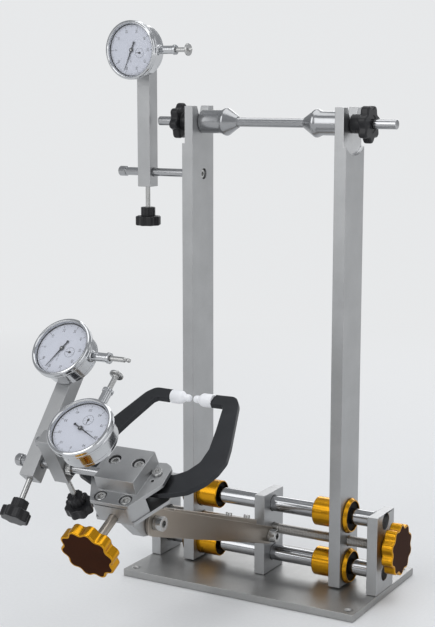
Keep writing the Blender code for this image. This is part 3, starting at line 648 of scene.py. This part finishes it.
def star_knob(side, label):
    outward = ALONG_X if side > 0 else ACROSS_X
    bore = 4.8
    head = slab(lobed(17.6, 3.4, 7, 1.2, 18), 95.5, 104.0, 2.0, 4)
    dish = lathe([(0, 103.2), (8.0, 103.2), (8.8, 105), (0, 105)], 48)
    head = carved(head, prism(40, bore, 94, 105), dish)
    hub = [(bore, 84.3), (8.5, 84.3), (8.8, 84.6), (8.8, 94.6), (9.6, 95.4), (11.0, 95.8), (bore, 95.8)]
    insert = lathe([(bore, 98.5), (6.4, 98.5), (6.4, 102.6), (6.2, 102.9), (bore, 102.9)], 48)
    place = shift(0, 0, AXLE_HEIGHT) @ outward
    grip = gathered(head, lathe(hub, 64))
    piece("star_grip_" + label, grip, "black", place, label + "_star", "star_knob_" + label)
    piece("star_insert_" + label, insert, "screw", place, label + "_star")


def axle():
    place = shift(0, 0, AXLE_HEIGHT) @ ALONG_X
    parts = [bar(AXLE_RADIUS, -124.5, -70, 48, 0.8), bar(AXLE_RADIUS, 70, 128, 48, 0.8), bar(4.1, -75, 75),
             threaded(AXLE_RADIUS, 0.35, 1.0, -71, 71, 24)]
    piece("axle", gathered(*parts), "rod", place, "left_upright", "axle_rod")


def upper_rod():
    profile = [(0, 87.3), (4, 87.3), (4, 163.5), (5.0, 163.8), (5.0, 171), (4.2, 172), (0, 172)]
    place = shift(0, 0, UPPER_ROD_HEIGHT) @ ACROSS_X
    piece("upper_gauge_rod", lathe(profile, 48, 0.2), "rod", place, "left_upright", "upper_rod")
    place = shift(-79.9, 1.7, UPPER_ROD_HEIGHT) @ ALONG_X
    piece("upper_rod_screw", cap_head(4.5, 3.2, 4.6), "bolt", place, "left_upright")


# Gauges
def gauge_bar(name, foot, top):
    """A square bar on its rod, with the clamp screw in its foot."""
    place = BARS[name]
    shape = brick((-BAR_HALF, -BAR_HALF, foot), (BAR_HALF, BAR_HALF, top))
    tools = [prism(40, ROD_BORE, -9, 9, ALONG_X), prism(32, 2.7, foot - 1, -5.6)]
    if name == "radial":
        tools.append(prism(32, PIN_BORE, -9, 9, shift(0, 0, CROSS_PIN_HEIGHT) @ ALONG_X))
    shape = soften(carved(shape, gathered(*tools)), 0.45, 3, 40)
    piece(name + "_gauge_bar", shape, "plate", place, name + "_arm", name + "_bar")

    body = name + "_clamp_screw"
    stud = lathe([(0, -36), (2.4, -36), (2.4, -6.8), (1.8, -5.8), (0, -5.8)], 40, 0.12)
    piece(name + "_clamp_stud", stud, "bolt", place, body)
    grip = slab(lobed(12.8, 1.6, 8, 1.0, 16), -53.5, -44, 1.3, 4)
    hub = slab(lobed(7.2, 0.55, 12, 1.0, 8), -44.4, -35.2, 0.6, 3)
    piece(name + "_clamp_grip", gathered(grip, hub), "black", place, body, name + "_clamp")


def gauge_case(name, lug):
    """The drum with its stem and centre post, and the lug that the radial gauge hangs on."""
    place = DIALS[name]
    body = name + "_arm"
    drum = [(0, CASE_BACK), (21.2, CASE_BACK), (21.5, -23.7), (23.9, -23.7), (25.0, -22.6), (25.0, -20.0),
            (24.6, -19.7), (25.2, -19.4), (25.2, -10.0), (25.6, -9.5), (26, -9.3), (26, -7.3), (0, -7.3)]
    stem = [(0, 16.3), (5.2, 16.3), (5.2, 26.6), (4.8, 27.2), (4.0, 27.6), (4.0, 42.6), (4.9, 43.0),
            (4.9, 45.2), (4.6, 45.5), (2.6, 45.5), (2.6, 20), (0, 20)]
    post = moved(bar(1.0, 0, 5), shift(0, 0, -9))
    shapes = [lathe(drum, 96, 0.12), moved(lathe(stem, 56, 0.12), STEM), post]
    if lug:
        ear = arc(0, -12.5, 5, 180, 360, 20) + [(5, 0), (-5, 0)]
        ear = moved(slab(ear, -6, 6, 0.4, 2), shift(0, 0, -22.7) @ SIDEWAYS)
        shapes.append(carved(ear, prism(32, PIN_BORE, -8, 8, shift(0, 0, -LUG_DROP) @ turn("X", 90))))
    piece(name + "_gauge_case", gathered(*shapes), "chrome", place, body, name + "_case")
    for i in range(4):
        spot = turn("Z", 45 + 90 * i) @ shift(18.6, 0, CASE_BACK) @ turn("X", 180)
        piece(f"{name}_back_screw_{i + 1}", cap_head(1.5, 0.8, 1.5, 0.7), "bolt", place @ spot, body)


def gauge_ring(name):
    """The bezel that turns, with the dial face it holds, and a black ring on the bezel's inner wall that
    paints the shade of the groove around the face.
    """
    place = DIALS[name]
    body = name + "_ring"
    rim = [(24.8, -7.0), (27.6, -7.0), (28.2, -6.5), (28.2, -5.2), (27.75, -4.8), (27.75, -4.2),
           (28.2, -3.8), (28.2, -1.6), (27.6, -0.6), (26.6, 0.0), (25.8, 0.0), (25.1, -0.8), (24.8, -1.6)]
    piece(name + "_bezel_ring", lathe(rim, 112, 0.12), "chrome", place, body, name + "_bezel")
    face = ring(1.5, 24.2, -7.0, -4.4, 96, 0.05)
    piece(name + "_dial_face", face, "dial", place, body, name + "_scale")
    # Painted shade: a black ring lining the bezel's inner wall darkens the groove around the dial face.
    painted_groove_shade = lathe([(24.2, -6.8), (24.75, -6.8), (24.75, -3.5), (24.2, -4.3)], 96)
    piece(name + "_dial_painted_groove_shade", painted_groove_shade, "rubber", place, body)


def tick(angle, inner, outer, width, level):
    """A thin printed line that points outward."""
    bm = bmesh.new()
    bmesh.ops.create_cube(bm, size=1.0)
    bmesh.ops.scale(bm, verts=bm.verts, vec=(outer - inner, width, 0.05))
    return moved(bm, turn("Z", angle) @ shift((inner + outer) / 2, 0, level))


def dial_print(name):
    """A hundred lines, longer at the fives and tens, and a number at each ten."""
    ink = []
    for k in range(100):
        start, width = 22.3, 0.15
        if k % 5 == 0:
            start, width = 21.5, 0.24
        if k % 10 == 0:
            start, width = 20.7, 0.36
        ink.append(tick(180 - 3.6 * k, start, 23.9, width, INK_LEVEL))
    for k in range(10):
        spot = shift(*around(180 - 36 * k, 18.4), INK_LEVEL) @ turn("Z", 90)
        ink.append(moved(printed(str(k * 10), 3.3), spot))
    piece(name + "_dial_print", gathered(*ink), "ink", DIALS[name], name + "_ring")


def turn_counter(name):
    """The small dial that counts the pointer's turns, and the gauge's unit beside it."""
    place = DIALS[name]
    body = name + "_arm"
    middle = shift(8.8, -2.8, 0)
    plate = bar(4.9, INK_LEVEL, -4.25, soft=0)
    piece(name + "_counter_face", moved(plate, middle), "dial", place, body)
    marks = [ring(4.6, 4.8, -4.27, -4.2, 48, 0)]
    marks += [tick(36 * k, 3.7, 4.5, 0.16, -4.24) for k in range(10)]
    for k in range(0, 10, 2):
        spot = shift(*around(180 - 36 * k, 2.9), -4.23) @ turn("Z", 90)
        marks.append(moved(printed(str(k), 1.15), spot))
    needle = slab([(-1.6, -0.45), (3.8, -0.16), (3.8, 0.16), (-1.6, 0.45)], -4.16, -4.02)
    marks.append(moved(needle, turn("Z", 176)))
    marks.append(lathe([(0, -4.2), (1.15, -4.2), (1.15, -3.95), (0, -3.9)], 24))
    unit = moved(printed("0.01 mm", 1.7), shift(-1.2, -8.8, -4.37) @ turn("Z", 90))
    piece(name + "_counter_print", gathered(moved(gathered(*marks), middle), unit), "ink", place, body)


def pointer(name, pointing):
    place = DIALS[name]
    body = name + "_hand"
    outline = [(20.9, -0.14), (20.9, 0.14), (2.0, 0.6), (-6.2, 0.55)] + arc(-7.4, 0, 1.15, 30, 330, 24)
    outline += [(-6.2, -0.55), (2.0, -0.6)]
    boss = lathe([(0, -3.75), (1.9, -3.75), (2.1, -3.5), (2.1, -3.0), (1.7, -2.6), (0, -2.5)], 40, 0.08)
    hand = moved(gathered(slab(outline, -3.5, -3.15), boss), turn("Z", pointing))
    piece(name + "_pointer_hand", hand, "blued", place, body, name + "_pointer")
    cap = lathe([(0, -2.56), (1.0, -2.56), (0.9, -2.3), (0, -2.2)], 32)
    piece(name + "_pointer_cap", cap, "bolt", place, body)


def plunger(name, tip, reach):
    """The shaft that slides in the stem, with a disc just past its reach or a ball that ends there."""
    radius = 2.25
    shaft = [(0, 33), (radius, 33)]
    if tip == "disc":
        shaft += [(radius, reach - 1.2), (2.9, reach - 0.5), (5.6, reach), (6.0, reach + 0.5),
                  (6.0, reach + 1.8), (5.6, reach + 2.2), (1.8, reach + 2.2), (1.5, reach + 4.6),
                  (0.9, reach + 5.4), (0, reach + 5.5)]
    else:
        ball = 2.0
        shaft += [(radius, reach - 6), (1.4, reach - 5), (1.4, reach - 3.4)]
        shaft += [(ball * math.sin(math.radians(a)), reach - ball - ball * math.cos(math.radians(a)))
                  for a in range(45, 180, 15)]
        shaft += [(0, reach)]
    piece(name + "_plunger_shaft", lathe(shaft, 48, 0.08), "bolt", DIALS[name] @ STEM, name + "_plunger",
          name + "_spindle")


def gauge(name, tip, reach, pointing, lug=False):
    gauge_case(name, lug)
    gauge_ring(name)
    dial_print(name)
    turn_counter(name)
    pointer(name, pointing)
    dome = [(0, -0.75), (8, -0.8), (16, -1.0), (22, -1.25), (24.7, -1.5), (24.7, -2.0), (22, -1.75),
            (16, -1.5), (8, -1.3), (0, -1.25)]
    piece(name + "_cover_glass", lathe(dome, 96), "crystal", DIALS[name], name + "_ring")
    plunger(name, tip, reach)


def fixing_screws():
    """The screws that hold the upper and lateral gauges to their bars, from behind."""
    for name, height in DIAL_HEIGHTS.items():
        place = BARS[name] @ shift(0, BAR_HALF, height) @ turn("X", -90)
        piece(name + "_fixing_screw", cap_head(3.6, 3.0, 3.6), "bolt", place, name + "_arm")


# Links
def links():
    """Two tapered plates with a spine between them, on a screw at each end."""
    rear, front = 8.5, 12.0
    lean = math.degrees(math.asin((front - rear) / LINK_LENGTH))
    outline = arc(0, 0, rear, -90 - lean, 90 + lean, 28)
    outline += arc(-LINK_LENGTH, 0, front, 90 + lean, 270 - lean, 36)
    for side, label in SIDES:
        low, high = sorted((side * 5.8, side * 8.8))
        shape = slab(outline, low, high)
        eyes = [prism(32, PIVOT_BORE, low - 1, high + 1, shift(x, 0, 0)) for x in (0, -LINK_LENGTH)]
        shape = soften(carved(shape, gathered(*eyes)), 0.35, 3, 40)
        piece("link_plate_" + label, shape, "link", LINKS @ SIDEWAYS, "link_frame", "link_" + label)
    spine_top = 13.2
    spine = brick((-5.5, -186, 7.0), (5.5, -26, spine_top), 0.5, 3)
    piece("spine", spine, "link", LINKS, "link_frame", "link_spine")
    for i, reach in enumerate((38, 75)):
        place = LINKS @ shift(0, -reach, spine_top)
        piece(f"spine_screw_{i + 1}", cap_head(3.1, 3.2, 3.4), "bolt", place, "link_frame")
    for name, y in (("rear_pivot", 0), ("front_pivot", -LINK_LENGTH)):
        shank = lathe([(0, -13.5), (3.0, -13.5), (3.0, 9.1), (6.4, 9.1), (6.4, 10.1), (0, 10.1)], 48, 0.1)
        nut = soften(prism(6, 5.4, 0, 3.6, shift(0, 0, -12.7)), 0.3, 2, 40)
        head = moved(cap_head(6.3, 6.8, 6.6, 0.6), shift(0, 0, 10.2))
        place = LINKS @ shift(0, y, 0) @ ALONG_X
        piece(name + "_screw", gathered(shank, nut, head), "bolt", place, "link_frame", name)


# Caliper head
SHELL_PLAN = rounded(both_sides([(18.4, -143.3, 0), (35.0, -112.8, 3), (33.4, -92.9, 6), (26.0, -89.1, 2),
                                 (19.2, -89.8, 0)]))


def upper_shell():
    """The flange with a raised block on it, its screws sunk in four wells."""
    raised = [(-130.0, 8.0), (-90.5, 8.0), (-90.5, 22.7), (-128.4, 22.7)]
    shape = joined(slab(SHELL_PLAN, 6.4, 10), moved(slab(raised, -19, 19), SIDEWAYS))
    wells = []
    for (x, y, bottom), radius in ((TOP_SCREW, 5.5), (FRONT_SCREW, 5.6)):
        wells += [prism(48, radius, bottom, 24, shift(side * x, y, 0)) for side in (-1, 1)]
    x, y = JAW_PIVOT
    for side in (-1, 1):
        wells.append(prism(24, 1.3, 5, 11, shift(side * x, -111.2, 0)))
        wells.append(prism(40, PIVOT_BORE, 5, 11, shift(side * x, y, 0)))
    wells.append(prism(40, ROD_BORE, 12, 20, shift(0, *HEAD_ROD) @ ACROSS_X))
    shape = soften(carved(shape, gathered(*wells)), 0.4, 3, 35)
    piece("caliper_upper_shell", shape, "plate", HEAD, "head", "caliper_top")
    for side, label in SIDES:
        x, y, bottom = TOP_SCREW
        screw = cap_head(4.5, 3.2, 5.4)
        piece("top_screw_" + label, screw, "bolt", HEAD @ shift(side * x, y, bottom), "head")
        x, y, bottom = FRONT_SCREW
        screw = cap_head(4.6, 2.7, 5.4, 0.75)
        piece("front_screw_" + label, screw, "bolt", HEAD @ shift(side * x, y, bottom), "head")


def lower_shell():
    """The plate under the arms, the block in front of them and the web that reaches down to the pivot."""
    front = both_sides([(14.0, -144.0), (18.4, -141.5), (25.5, -128.0), (22.0, -124.5)])
    web = [(-140, -10), (-92, -10), (-92, -14), (-97.5, -44), (-99, -50), (-104, -54.5), (-112, -54.5),
           (-124.3, -45.2), (-136, -16)]
    shape = joined(slab(SHELL_PLAN, -11.4, -8.2), slab(front, -9.5, 6.1),
                   moved(slab(web, -5.5, 5.5), SIDEWAYS))
    x, y = JAW_PIVOT
    tools = [prism(32, PIVOT_BORE, -7, 7, shift(0, *HEAD_PIVOT) @ ALONG_X),
             prism(40, ROD_BORE, -146, -123, ALONG_SCREW)]
    tools += [prism(32, PIVOT_BORE, -12, -8, shift(side * x, y, 0)) for side in (-1, 1)]
    shape = soften(carved(shape, gathered(*tools)), 0.35, 3, 35)
    piece("caliper_lower_shell", shape, "plate", HEAD, "head", "caliper_body")


def head_screw():
    """The screw with its gold knob, and the nut that it pulls to push the arms apart."""
    place = HEAD @ ALONG_SCREW
    shank = [(0, -184), (4, -184), (4, -124), (2.2, -123.4), (2.2, -103), (0, -103)]
    piece("caliper_screw_shank", lathe(shank, 48, 0.2), "link", place, "head_screw", "caliper_screw")
    hub = lathe([(4.3, -176.8), (9, -176.8), (9, -172.1), (8.4, -171.5), (4.3, -171.5)], 64, 0.15)
    grip = gathered(gold_knob(-186.9, -176.3, -1), hub)
    piece("caliper_grip", grip, "gold", place, "head_screw", "caliper_knob", second="painted_dark_reflection")

    outline = both_sides([(10.5, -123), (10.5, -119.3), (3.4, -119.3), (3.4, -112.7), (13, -112.7),
                          (13, -109)])
    tap = prism(32, 2.5, -126, -106, ALONG_SCREW)
    nut = soften(carved(slab(outline, -7.8, 3.2), tap), 0.3, 2, 40)
    piece("spreader", nut, "bolt", HEAD, "spreader", "spreader_nut")


def head_rod():
    """The rod that carries the two lower gauges, and the pin that carries the radial one."""
    place = HEAD @ shift(0, *HEAD_ROD) @ ACROSS_X
    rod = [(0, 12.4), (4, 12.4), (4, 101), (5.0, 101.3), (5.4, 101.9), (5.4, 106.6), (4.4, 108), (0, 108)]
    piece("head_gauge_rod", lathe(rod, 48, 0.15), "rod", place, "head", "gauge_rod")
    collar = carved(slab(lobed(6.3, 0.5, 18, 1.0, 6), 49.3, 54.5), prism(40, 4.1, 48, 56))
    piece("rod_collar", soften(collar, 0.3, 2, 40), "bolt", place, "head")
    pin = [(0, -13), (3.8, -13), (4.2, -12.5), (4.2, -7.6), (3.0, -7.6), (3.0, 52.3), (0, 52.3)]
    place = BARS["radial"] @ shift(0, 0, CROSS_PIN_HEIGHT) @ ALONG_X
    piece("cross_pin", lathe(pin, 40, 0.2), "rod", place, "radial_arm", "cross_rod")


def caliper_arm(side, label):
    """A dark curved arm with its white tip, and the screw that it turns on."""
    x, y = JAW_PIVOT
    corners = [
        (21.3, 8.0, 0), (41.2, 8.5, 9), (47.7, 0.5, 18), (65.8, -52.5, 14), (70.2, -69.2, 14),
        (68.9, -83.6, 14), (63.5, -97.7, 14), (53.2, -109.6, 10), (39.3, -115.5, 10), (30, -117.6, 4),
        (20, -118.2, 2), (12, -118.5, 0.5), (8.8, -117.6, 1.5), (8.8, -114.4, 1.5), (12, -113.5, 0.5),
        (17.5, -113.2, 1.5), (16.2, -102, 4), (17, -93.5, 4), (25, -92, 4), (32, -95, 6), (42.1, -87, 8),
        (48.2, -75.5, 10), (48.3, -59, 10), (43.3, -36.5, 10), (35.5, -7.2, 2), (32.7, -4.3, 1),
        (21.3, -4.4, 0), (21.3, -1.7, 0), (14.5, -1.7, 0), (14.5, 5.3, 0), (21.3, 5.3, 0)]
    shape = slab(mirrored(rounded(corners), side), -2.5, 2.5)
    shape = carved(shape, prism(40, PIVOT_BORE, -4, 4, shift(side * x, y, 0)))
    body = label + "_jaw"
    piece("caliper_arm_" + label, soften(shape, 0.4, 3, 35), "arm", HEAD, body, "arm_" + label)

    outward = shift(0, 1.8, 0) @ (ALONG_X if side > 0 else ACROSS_X)
    nylon = [(0, 1.5), (1.3, 1.5), (2.4, 1.9), (3.0, 2.7), (3.3, 3.8), (3.4, 7.4), (4.2, 8.4), (5.5, 10.0),
             (6.0, 11.4), (6.0, 20.2), (5.5, 21), (0, 21)]
    low, high = sorted((side * 14.2, side * 22))
    tip = carved(moved(lathe(nylon, 56), outward), brick((low, -2.0, -2.8), (high, 5.6, 2.8)))
    piece("nylon_tip_" + label, soften(tip, 0.2, 2, 35), "nylon", HEAD, body, "tip_" + label)

    pin = [(0, -13.4), (4.6, -13.4), (5.0, -13.0), (5.0, -11.7), (3.0, -11.7), (3.0, -7.9), (5.6, -7.9),
           (5.6, -2.8), (3.0, -2.8), (3.0, 2.8), (5.6, 2.8), (5.6, 6.1), (3.0, 6.1), (3.0, 10.25),
           (0, 10.25)]
    screw = gathered(lathe(pin, 48, 0.1), moved(cap_head(4.6, 2.0, 4.4, 0.7), shift(0, 0, 10.25)))
    place = HEAD @ shift(side * x, y, 0)
    piece("arm_pivot_screw_" + label, screw, "bolt", place, "head", "arm_pivot_" + label)


# The room, in metres
PALE = (0.80, 0.81, 0.82)
FLOOR_FADE = (0.3, 1.5)
LAMPS = {
    "key": {"place": (-0.4, -1.9, 1.3), "aim": (0, -0.05, 0.25), "size": (1.8, 1.8), "watts": 21},
    "fill": {"place": (1.7, -0.6, 0.8), "aim": (0, 0, 0.2), "size": (1.2, 1.8), "watts": 6},
    "top": {"place": (0.1, 0.3, 1.9), "aim": (0, 0, 0.2), "size": (1.6, 1.6), "watts": 12},
    "back": {"place": (-0.4, 1.7, 0.9), "aim": (0, 0, 0.25), "size": (1.2, 0.8), "watts": 7},
    "side": {"place": (1.5, 1.3, 0.55), "aim": (0, 0, 0.2), "size": (1.2, 1.2), "watts": 2},
}


def area_lamp(name, place, aim, size, watts):
    lamp = bpy.data.lights.new(name, "AREA")
    lamp.shape = "RECTANGLE"
    lamp.size, lamp.size_y = size
    lamp.energy = watts
    item = bpy.data.objects.new(name, lamp)
    bpy.context.scene.collection.objects.link(item)
    item.location = place
    item.rotation_mode = "QUATERNION"
    item.rotation_quaternion = (Vector(aim) - Vector(place)).to_track_quat("-Z", "Y")


def floor_finish():
    """A matt floor that fades into the pale room with distance."""
    material, tree, shader = graph("studio_floor")
    where = tree.nodes.new("ShaderNodeTexCoord").outputs["Object"]
    grain = noise(tree, where, 3.0, 3.0)
    colour = blend_colours(tree, ranged(tree, grain, 0.0, 1.0), tinted(PALE, 0.97), PALE)
    tree.links.new(colour, shader.inputs["Base Color"])
    shader.inputs["Roughness"].default_value = 0.7
    shader.inputs["Specular IOR Level"].default_value = 0.2
    glow = tree.nodes.new("ShaderNodeEmission")
    glow.inputs["Color"].default_value = (*PALE, 1.0)
    glow.inputs["Strength"].default_value = 1.0
    distance = tree.nodes.new("ShaderNodeVectorMath")
    distance.operation = "LENGTH"
    tree.links.new(where, distance.inputs[0])
    far = ranged(tree, distance.outputs["Value"], 0.0, 1.0, *FLOOR_FADE)
    mix = tree.nodes.new("ShaderNodeMixShader")
    tree.links.new(far, mix.inputs[0])
    tree.links.new(shader.outputs[0], mix.inputs[1])
    tree.links.new(glow.outputs[0], mix.inputs[2])
    tree.links.new(mix.outputs[0], tree.nodes["Material Output"].inputs["Surface"])
    return material


def floor():
    bm = bmesh.new()
    bmesh.ops.create_circle(bm, cap_ends=True, segments=64, radius=12.0)
    mesh = bpy.data.meshes.new("floor")
    bm.to_mesh(mesh)
    bm.free()
    mesh.materials.append(floor_finish())
    item = bpy.data.objects.new("floor", mesh)
    bpy.context.scene.collection.objects.link(item)
    item.location = (0, 0, -0.0004)


def sky():
    """A pale room that the camera sees brighter than the surfaces do."""
    world = bpy.data.worlds.new("studio")
    bpy.context.scene.world = world
    world.use_nodes = True
    tree = world.node_tree
    seen = tree.nodes["Background"]
    seen.inputs["Color"].default_value = (*PALE, 1.0)
    seen.inputs["Strength"].default_value = 1.0
    lit = tree.nodes.new("ShaderNodeBackground")
    lit.inputs["Color"].default_value = (0.78, 0.80, 0.83, 1.0)
    lit.inputs["Strength"].default_value = 0.52
    path = tree.nodes.new("ShaderNodeLightPath")
    either = tree.nodes.new("ShaderNodeMath")
    either.operation = "MAXIMUM"
    tree.links.new(path.outputs["Is Camera Ray"], either.inputs[0])
    tree.links.new(path.outputs["Is Transmission Ray"], either.inputs[1])
    mix = tree.nodes.new("ShaderNodeMixShader")
    tree.links.new(either.outputs[0], mix.inputs[0])
    tree.links.new(lit.outputs[0], mix.inputs[1])
    tree.links.new(seen.outputs[0], mix.inputs[2])
    tree.links.new(mix.outputs[0], tree.nodes["World Output"].inputs["Surface"])


def camera():
    """The camera that was fitted to the photo: turns in radians, place in metres, picture in pixels."""
    yaw, pitch, roll = 0.50864, 0.16834, -0.00272
    place = (0.60907, -1.15719, 0.47755)
    width, height = 435, 627
    focal_length, centre_x, centre_y = 1371.09, 237.56, 322.63
    sensor = 24.0
    ahead = Vector((-math.sin(yaw) * math.cos(pitch), math.cos(yaw) * math.cos(pitch), -math.sin(pitch)))
    across = Vector((math.cos(yaw), math.sin(yaw), 0))
    down = ahead.cross(across)
    right = across * math.cos(roll) + down * math.sin(roll)
    below = down * math.cos(roll) - across * math.sin(roll)
    data = bpy.data.cameras.new("camera")
    data.sensor_fit = "VERTICAL"
    data.sensor_height = sensor
    data.sensor_width = sensor
    data.lens = focal_length / height * sensor
    data.shift_x = (width / 2 - centre_x) / height
    data.shift_y = (centre_y - height / 2) / height
    data.clip_start = 0.05
    data.clip_end = 50
    item = bpy.data.objects.new("camera", data)
    bpy.context.scene.collection.objects.link(item)
    item.matrix_world = Matrix.Translation(place) @ Matrix((right, -below, -ahead)).transposed().to_4x4()
    bpy.context.scene.camera = item


base()
plates_and_rods()
width_screw()
for side, label in SIDES:
    upright(side, label)
    caliper_arm(side, label)
for side, label in SIDES:
    star_knob(side, label)
axle()
upper_rod()
links()
upper_shell()
lower_shell()
head_screw()
head_rod()
gauge_bar("upper", foot=-14.5, top=128.5)
gauge_bar("lateral", foot=-15.4, top=104)
gauge_bar("radial", foot=-12.2, top=34.8)
gauge("upper", tip="disc", reach=57.7, pointing=-113)
gauge("lateral", tip="ball", reach=66, pointing=-116)
gauge("radial", tip="disc", reach=60.0, pointing=-114, lug=True)
fixing_screws()
floor()
sky()
for name, lamp in LAMPS.items():
    area_lamp(name, **lamp)
camera()
bpy.context.scene.view_settings.view_transform = "Standard"
